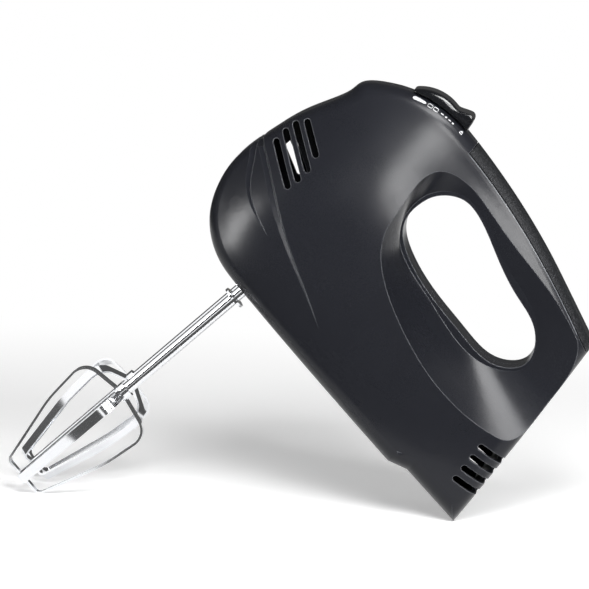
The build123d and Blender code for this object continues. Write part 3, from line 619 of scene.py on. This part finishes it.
def springTree(points=260, sides=10):
    # a helix with a flat turn at each end, swept with round wire
    tree = bpy.data.node_groups.new("coilSpring", "GeometryNodeTree")
    sockets = {}
    for name, kind, value in (("Radius", "NodeSocketFloat", 0.005),
                              ("Wire", "NodeSocketFloat", 0.0005),
                              ("Length", "NodeSocketFloat", 0.01),
                              ("Turns", "NodeSocketFloat", 6.0),
                              ("Finish", "NodeSocketMaterial", None)):
        item = tree.interface.new_socket(name, in_out="INPUT", socket_type=kind)
        if value is not None:
            item.default_value = value
        sockets[name] = item.identifier
    tree.interface.new_socket("Geometry", in_out="OUTPUT", socket_type="NodeSocketGeometry")
    make, link = tree.nodes.new, tree.links.new
    given, result = make("NodeGroupInput").outputs, make("NodeGroupOutput")

    def add(kind, settings, inputs):
        node = make(kind)
        for name, value in settings.items():
            setattr(node, name, value)
        for name, value in inputs.items():
            if isinstance(value, bpy.types.NodeSocket):
                link(value, node.inputs[name])
            else:
                node.inputs[name].default_value = value
        return node.outputs

    def maths(operation, *terms):
        return add("ShaderNodeMath", {"operation": operation}, dict(enumerate(terms)))[0]

    line = add("GeometryNodeMeshLine", {}, {"Count": points})
    curve = add("GeometryNodeMeshToCurve", {}, {"Mesh": line["Mesh"]})
    # how far along the helix each point is, from 0 to 1, and its angle there
    share = maths("DIVIDE", add("GeometryNodeInputIndex", {}, {})[0], points - 1.0)
    angle = maths("MULTIPLY", maths("MULTIPLY", share, given["Turns"]), 2 * math.pi)
    rise = add("ShaderNodeMapRange", {"interpolation_type": "SMOOTHSTEP"},
               {"Value": share, "From Min": 0.1, "From Max": 0.9, "To Min": 0.0, "To Max": 1.0})[0]
    # half the rise is even and half is gathered in the middle, so the end turns lie close
    steady = maths("MULTIPLY_ADD", rise, 0.5, maths("MULTIPLY", share, 0.5))
    room = maths("SUBTRACT", given["Length"], maths("MULTIPLY", given["Wire"], 2.0))
    height = maths("MULTIPLY_ADD", steady, room, given["Wire"])
    xAt = maths("MULTIPLY", maths("COSINE", angle), given["Radius"])
    yAt = maths("MULTIPLY", maths("SINE", angle), given["Radius"])
    spot = add("ShaderNodeCombineXYZ", {}, {0: xAt, 1: yAt, 2: height})
    bent = add("GeometryNodeSetPosition", {}, {"Geometry": curve["Curve"], "Position": spot[0]})
    section = add("GeometryNodeCurvePrimitiveCircle", {},
                  {"Resolution": sides, "Radius": given["Wire"]})
    swept = add("GeometryNodeCurveToMesh", {},
                {"Curve": bent["Geometry"], "Profile Curve": section["Curve"], "Fill Caps": True})
    real = add("GeometryNodeRealizeInstances", {}, {"Geometry": swept["Mesh"]})
    coat = add("GeometryNodeSetMaterial", {},
               {"Geometry": real["Geometry"], "Material": given["Finish"]})
    link(coat["Geometry"], result.inputs["Geometry"])
    return tree, sockets


def grow(name, tree, sockets, values, placing):
    # runs the tree on an empty mesh, and keeps the result as a plain mesh in its place
    carrier = bpy.data.objects.new(name + "Carrier", bpy.data.meshes.new(name + "Carrier"))
    bpy.context.scene.collection.objects.link(carrier)
    modifier = carrier.modifiers.new("grow", "NODES")
    modifier.node_group = tree
    for key, value in values.items():
        modifier[sockets[key]] = value
    bpy.context.view_layer.update()
    grown = carrier.evaluated_get(bpy.context.evaluated_depsgraph_get())
    mesh = bpy.data.meshes.new_from_object(grown)
    bpy.data.objects.remove(carrier)
    mesh.transform(placing)
    for polygon in mesh.polygons:
        polygon.use_smooth = True
    piece = bpy.data.objects.new(name, mesh)
    bpy.context.scene.collection.objects.link(piece)
    return piece


def standing(start, direction):
    # turns a piece made upright at the origin to stand on start, along direction
    turn = Vector(direction).to_track_quat("Z", "Y").to_matrix().to_4x4()
    return Matrix.Translation(start) @ turn


coilTree, coilSockets = springTree()
for name, values in springs.items():
    low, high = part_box(values["node"])
    middle = (low + high) / 2
    if "start" in values:
        start, direction = place(*values["start"]), upBody
    else:
        direction = Vector((0, 1 if middle.y > 0 else -1, 0))
        start = middle - direction * values["length"] / 2
    coil = grow(name, coilTree, coilSockets,
                {"Radius": values["radius"], "Wire": values["wire"], "Length": values["length"],
                 "Turns": values["turns"], "Finish": springWire}, standing(start, direction))
    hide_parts(values["node"])
    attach(coil, "housing")
    if name == "ejectorCoil":
        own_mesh(coil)
print("springs done")


# printed speed marks
marks = {
    "ink": tone(196, 197, 199), "faded": tone(170, 170, 168),
    "rise": 0.00003, "thick": 0.00003,
    "radius": 59.3,         # the row's distance from the crown's centre, in millimetres
    # the wedge: degrees forward of the crown at each end, and half its height there
    "wedge": ((27.0, 0.75), (20.3, 0.5)),
    # rounded rings: middle, half length in degrees, half height and line width
    "rings": ((18.0, 1.3, 0.85, 0.34), (14.9, 1.3, 0.85, 0.34)),
    # dashes: middle, half length in degrees, half height
    "dashes": ((11.3, 0.8, 0.2), (9.0, 0.5, 0.3), (6.9, 0.8, 0.2), (4.8, 0.5, 0.3)),
    # the small triangle with a line under it: middle, half length in degrees, height
    "arrow": (-1.0, 0.9, 0.9), "underline": (-0.7, -0.35),
    "squareness": 3.2,      # 2 makes the rings ellipses, more makes them squarer
}


def makeInk(values):
    finish = Finish("printed ink", IOR=1.5, Specular_IOR_Level=0.4)
    screen = finish.noise(2600, 3)
    rubbed = finish.noise(500, 4).round(0.5, 0.8)
    colour = finish.mix(screen * 0.15 + rubbed * 0.25, values["ink"], values["faded"])
    rough = 0.42 + screen * 0.08
    return finish.give(Base_Color=colour, Roughness=rough, Normal=finish.relief(screen, 0.00001))


def skinOf(*names):
    points, triangles = [], []
    for name in names:
        mesh = nodes[name].data
        mesh.calc_loop_triangles()
        first = len(points)
        points.extend(vertex.co.copy() for vertex in mesh.vertices)
        triangles.extend([first + i for i in triangle.vertices]
                         for triangle in mesh.loop_triangles)
    return BVHTree.FromPolygons(points, triangles)


class Print:
    # flat shapes laid on the skin of the mixer's left side, as one thin mesh
    def __init__(self, skin, values):
        self.skin, self.values = skin, values
        self.points, self.faces = [], []

    def lay(self, degrees, offset):
        # a spot of the row, so many degrees forward and so far above its middle line
        turn, radius = math.radians(degrees), self.values["radius"] + offset
        x = crownCentre[0] - radius * math.sin(turn)
        z = crownCentre[1] + radius * math.cos(turn)
        hit, normal, _, _ = self.skin.ray_cast(place(x, -60, z), across)
        out = -normal if normal.dot(across) > 0 else normal
        self.points.append((hit, out))
        return len(self.points) - 1

    def sheet(self, rows, closed=False):
        # rows of spots joined with quads
        grid = [[self.lay(*spot) for spot in row] for row in rows]
        for here, there in zip(grid, grid[1:] + (grid[:1] if closed else [])):
            for i in range(len(here) - 1):
                self.faces.append((here[i], there[i], there[i + 1], here[i + 1]))

    def bar(self, start, end, steps=8):
        rows = []
        for i in range(steps + 1):
            share = i / steps
            degrees = start[0] + share * (end[0] - start[0])
            half = start[1] + share * (end[1] - start[1])
            # rounded ends
            half *= min(1, math.sqrt(1 - max(0, abs(share - 0.5) * 2 - 0.85) / 0.15 * 0.8))
            rows.append([(degrees, half * step) for step in (-1, -0.33, 0.33, 1)])
        self.sheet(rows)

    def ring(self, middle, long, high, line, steps=28):
        rows, power = [], self.values["squareness"]
        for i in range(steps):
            turn = 2 * math.pi * i / steps
            cosine, sine = math.cos(turn), math.sin(turn)
            reach = (abs(cosine) ** power + abs(sine) ** power) ** (-1 / power)
            rows.append([(middle + long * cosine * reach * (1 - line * step / 2),
                          high * sine * reach * (1 - line * step)) for step in (0, 0.5, 1)])
        self.sheet(rows, closed=True)

    def piece(self, name, material):
        mesh = bpy.data.meshes.new(name)
        rise, thick = self.values["rise"], self.values["thick"]
        tops = [spot + out * (rise + thick) for spot, out in self.points]
        feet = [spot - out * rise for spot, out in self.points]
        count = len(tops)
        faces = list(self.faces)
        faces += [tuple(count + i for i in reversed(face)) for face in self.faces]
        sides = {}
        for face in self.faces:
            for i, j in zip(face, face[1:] + face[:1]):
                sides[(i, j)] = None if (j, i) in sides else sides.get((i, j), True)
                if (j, i) in sides:
                    sides[(j, i)] = None
        faces += [(j, i, count + i, count + j) for (i, j), free in sides.items() if free]
        mesh.from_pydata(tops + feet, [], faces)
        mesh.materials.append(material)
        made = bpy.data.objects.new(name, mesh)
        bpy.context.scene.collection.objects.link(made)
        return made


row = Print(skinOf("housing_left"), marks)
row.bar(*marks["wedge"])
for ring in marks["rings"]:
    row.ring(*ring)
for middle, long, high in marks["dashes"]:
    row.bar((middle + long, high), (middle - long, high))
middle, long, high = marks["arrow"]
row.sheet([[(middle + side * long * (1 - share), high * share) for side in (1, -1)]
           for share in (0, 0.5, 0.97)])
row.sheet([[(middle + side * long, level) for side in (1, 0, -1)] for level in marks["underline"]])
speedMarks = row.piece("speedMarks", makeInk(marks))
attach(speedMarks, "housing")
print("marks done")

# camera
shot = {
    "azimuth": 4.5, "elevation": 7.5, "roll": 2.916,     # degrees
    "distance": 2.351, "lens": 296.9,
    "aim": (0, 0, 0.110), "right": -0.006734, "up": -0.00745,
}


def makeCamera(values):
    turn, rise, roll = (math.radians(values[key]) for key in ("azimuth", "elevation", "roll"))
    level = Vector((math.cos(turn), math.sin(turn), 0))
    ahead = Vector((-math.sin(turn), math.cos(turn), 0))
    view = math.cos(rise) * ahead - Vector((0, 0, math.sin(rise)))
    upright = math.sin(rise) * ahead + Vector((0, 0, math.cos(rise)))
    right = math.cos(roll) * level + math.sin(roll) * upright
    top = math.cos(roll) * upright - math.sin(roll) * level
    aim = Vector(values["aim"]) + values["right"] * right + values["up"] * top
    data = bpy.data.cameras.new("camera")
    data.lens, data.sensor_width, data.clip_end = values["lens"], 36, 60
    camera = bpy.data.objects.new("camera", data)
    turned = Matrix((right, top, -view)).transposed().to_4x4()
    camera.matrix_world = Matrix.Translation(aim - view * values["distance"]) @ turned
    bpy.context.scene.collection.objects.link(camera)
    bpy.context.scene.camera = camera


makeCamera(shot)

# studio
studio = {
    "ambient": 0.14,
    "floorTone": (0.8, 0.8, 0.8, 1.0), "floorGlow": 0.39, "nearFloor": (0.3, 0.62),
    "surround": 0.1, "surroundRadius": 1.7, "surroundHeight": 2.2,
    # the card lying in front: left, right, near and far edges
    "frontCard": (-0.75, 0.75, -1.4, -0.1),
    # azimuth from the viewer's side to the right, elevation, distance, width, height, power,
    # whether it shows in the gloss, and whether it lights matt surfaces
    "boxes": {
        "rightBox": (38, 26, 1.0, 0.34, 0.36, 8.0, True, True),
        "leftBox": (-58, 13, 1.0, 0.23, 0.52, 8.8, True, False),
        "highBox": (62, 53, 1.0, 0.6, 0.34, 12.4, True, False),
        "frontFill": (7, 34, 1.4, 0.45, 0.45, 21.0, False, True),
    },
    "aim": (0.02, 0, 0.13),
    # white cards for the chrome alone: azimuth, elevation, distance, width, height, power
    "chromeCards": {
        "skyCard": (-80, 50, 1.0, 1.0, 1.5, 5.6),
        "viewCard": (-6, -2, 1.0, 0.5, 0.22, 0.42),
    },
}


def seenDirectly(shading):
    # 1 for camera, glossy and transmission rays, which see the plain white studio
    path = [shading.add("ShaderNodeLightPath", out=name)
            for name in ("Is Camera Ray", "Is Glossy Ray", "Is Transmission Ray")]
    return path[0].most(path[1]).most(path[2])


def makeWorld(values):
    world = bpy.data.worlds.new("studio")
    world.use_nodes = True
    bpy.context.scene.world = world
    shading = Shading(world.node_tree)
    seen = seenDirectly(shading)
    background = world.node_tree.nodes["Background"]
    shading.feed(background.inputs["Color"], (1, 1, 1, 1))
    shading.feed(background.inputs["Strength"], values["ambient"] + (1 - values["ambient"]) * seen)


def makeFloor(values):
    # lit normally near the mixer, and plain white farther out
    material = bpy.data.materials.new("pale floor")
    material.use_nodes = True
    shading = Shading(material.node_tree)
    material.node_tree.nodes.remove(material.node_tree.nodes["Principled BSDF"])
    seen = seenDirectly(shading)
    at = shading.add("ShaderNodeTexCoord", out="Object")
    away = shading.vector("LENGTH", at, (0, 0, 0), "Value")
    far = away.round(*values["nearFloor"])
    matt = shading.add("ShaderNodeBsdfDiffuse", {}, {"Color": values["floorTone"]})
    glow = shading.add("ShaderNodeEmission", {}, {"Strength": seen * values["floorGlow"]})
    white = shading.add("ShaderNodeEmission", {}, {"Strength": 1.0})
    near = shading.add("ShaderNodeAddShader", {}, {0: matt, 1: glow})
    both = shading.add("ShaderNodeMixShader", {}, {0: far * seen, 1: near, 2: white})
    shading.feed(material.node_tree.nodes["Material Output"].inputs["Surface"], both)
    mesh = bpy.data.meshes.new("floor")
    mesh.from_pydata([(-20, -20, 0), (20, -20, 0), (20, 20, 0), (-20, 20, 0)], [], [(0, 1, 2, 3)])
    mesh.materials.append(material)
    floor = bpy.data.objects.new("floor", mesh)
    bpy.context.scene.collection.objects.link(floor)


def makeCards(values):
    # dark cards all round and in front, seen only in the gloss, keep white off the plastic
    material = bpy.data.materials.new("dark card")
    material.use_nodes = True
    shading = Shading(material.node_tree)
    material.node_tree.nodes.remove(material.node_tree.nodes["Principled BSDF"])
    card = shading.add("ShaderNodeEmission", {}, {"Strength": values["surround"]})
    shading.feed(material.node_tree.nodes["Material Output"].inputs["Surface"], card)
    count, radius, top = 48, values["surroundRadius"], values["surroundHeight"]
    turns = [2 * math.pi * i / count for i in range(count)]
    ring = [(radius * math.cos(turn), radius * math.sin(turn)) for turn in turns]
    points = [(x, y, 0.001) for x, y in ring] + [(x, y, top) for x, y in ring]
    faces = [(i, (i + 1) % count, count + (i + 1) % count, count + i) for i in range(count)]
    faces.append(tuple(range(count, 2 * count)))
    left, right, near, far = values["frontCard"]
    first = len(points)
    points += [(left, near, 0.002), (right, near, 0.002), (right, far, 0.002), (left, far, 0.002)]
    faces.append(tuple(range(first, first + 4)))
    mesh = bpy.data.meshes.new("cards")
    mesh.from_pydata(points, [], faces)
    mesh.materials.append(material)
    cards = bpy.data.objects.new("cards", mesh)
    bpy.context.scene.collection.objects.link(cards)
    cards.visible_camera = cards.visible_diffuse = cards.visible_shadow = False
    cards.visible_transmission = False


def makeLamp(name, aim, azimuth, elevation, distance, width, height, power):
    turn, rise = math.radians(azimuth), math.radians(elevation)
    away = Vector((math.sin(turn) * math.cos(rise), -math.cos(turn) * math.cos(rise),
                   math.sin(rise)))
    data = bpy.data.lights.new(name, "AREA")
    data.shape, data.size, data.size_y, data.energy = "RECTANGLE", width, height, power
    lamp = bpy.data.objects.new(name, data)
    lamp.location = aim + away * distance
    lamp.rotation_euler = away.to_track_quat("Z", "Y").to_euler()
    lamp.visible_camera = False
    bpy.context.scene.collection.objects.link(lamp)
    return lamp


def makeLamps(values):
    aim = Vector(values["aim"])
    for name, (*sizes, glossy, matt) in values["boxes"].items():
        lamp = makeLamp(name, aim, *sizes)
        lamp.visible_glossy, lamp.visible_diffuse = glossy, matt
    metal = bpy.data.collections.new("chromed pieces")
    for piece in chromed:
        metal.objects.link(piece)
    for name, sizes in values["chromeCards"].items():
        makeLamp(name, aim, *sizes).light_linking.receiver_collection = metal


makeWorld(studio)
makeFloor(studio)
makeCards(studio)
makeLamps(studio)
bpy.context.scene.view_settings.view_transform = "Standard"
print("studio done")
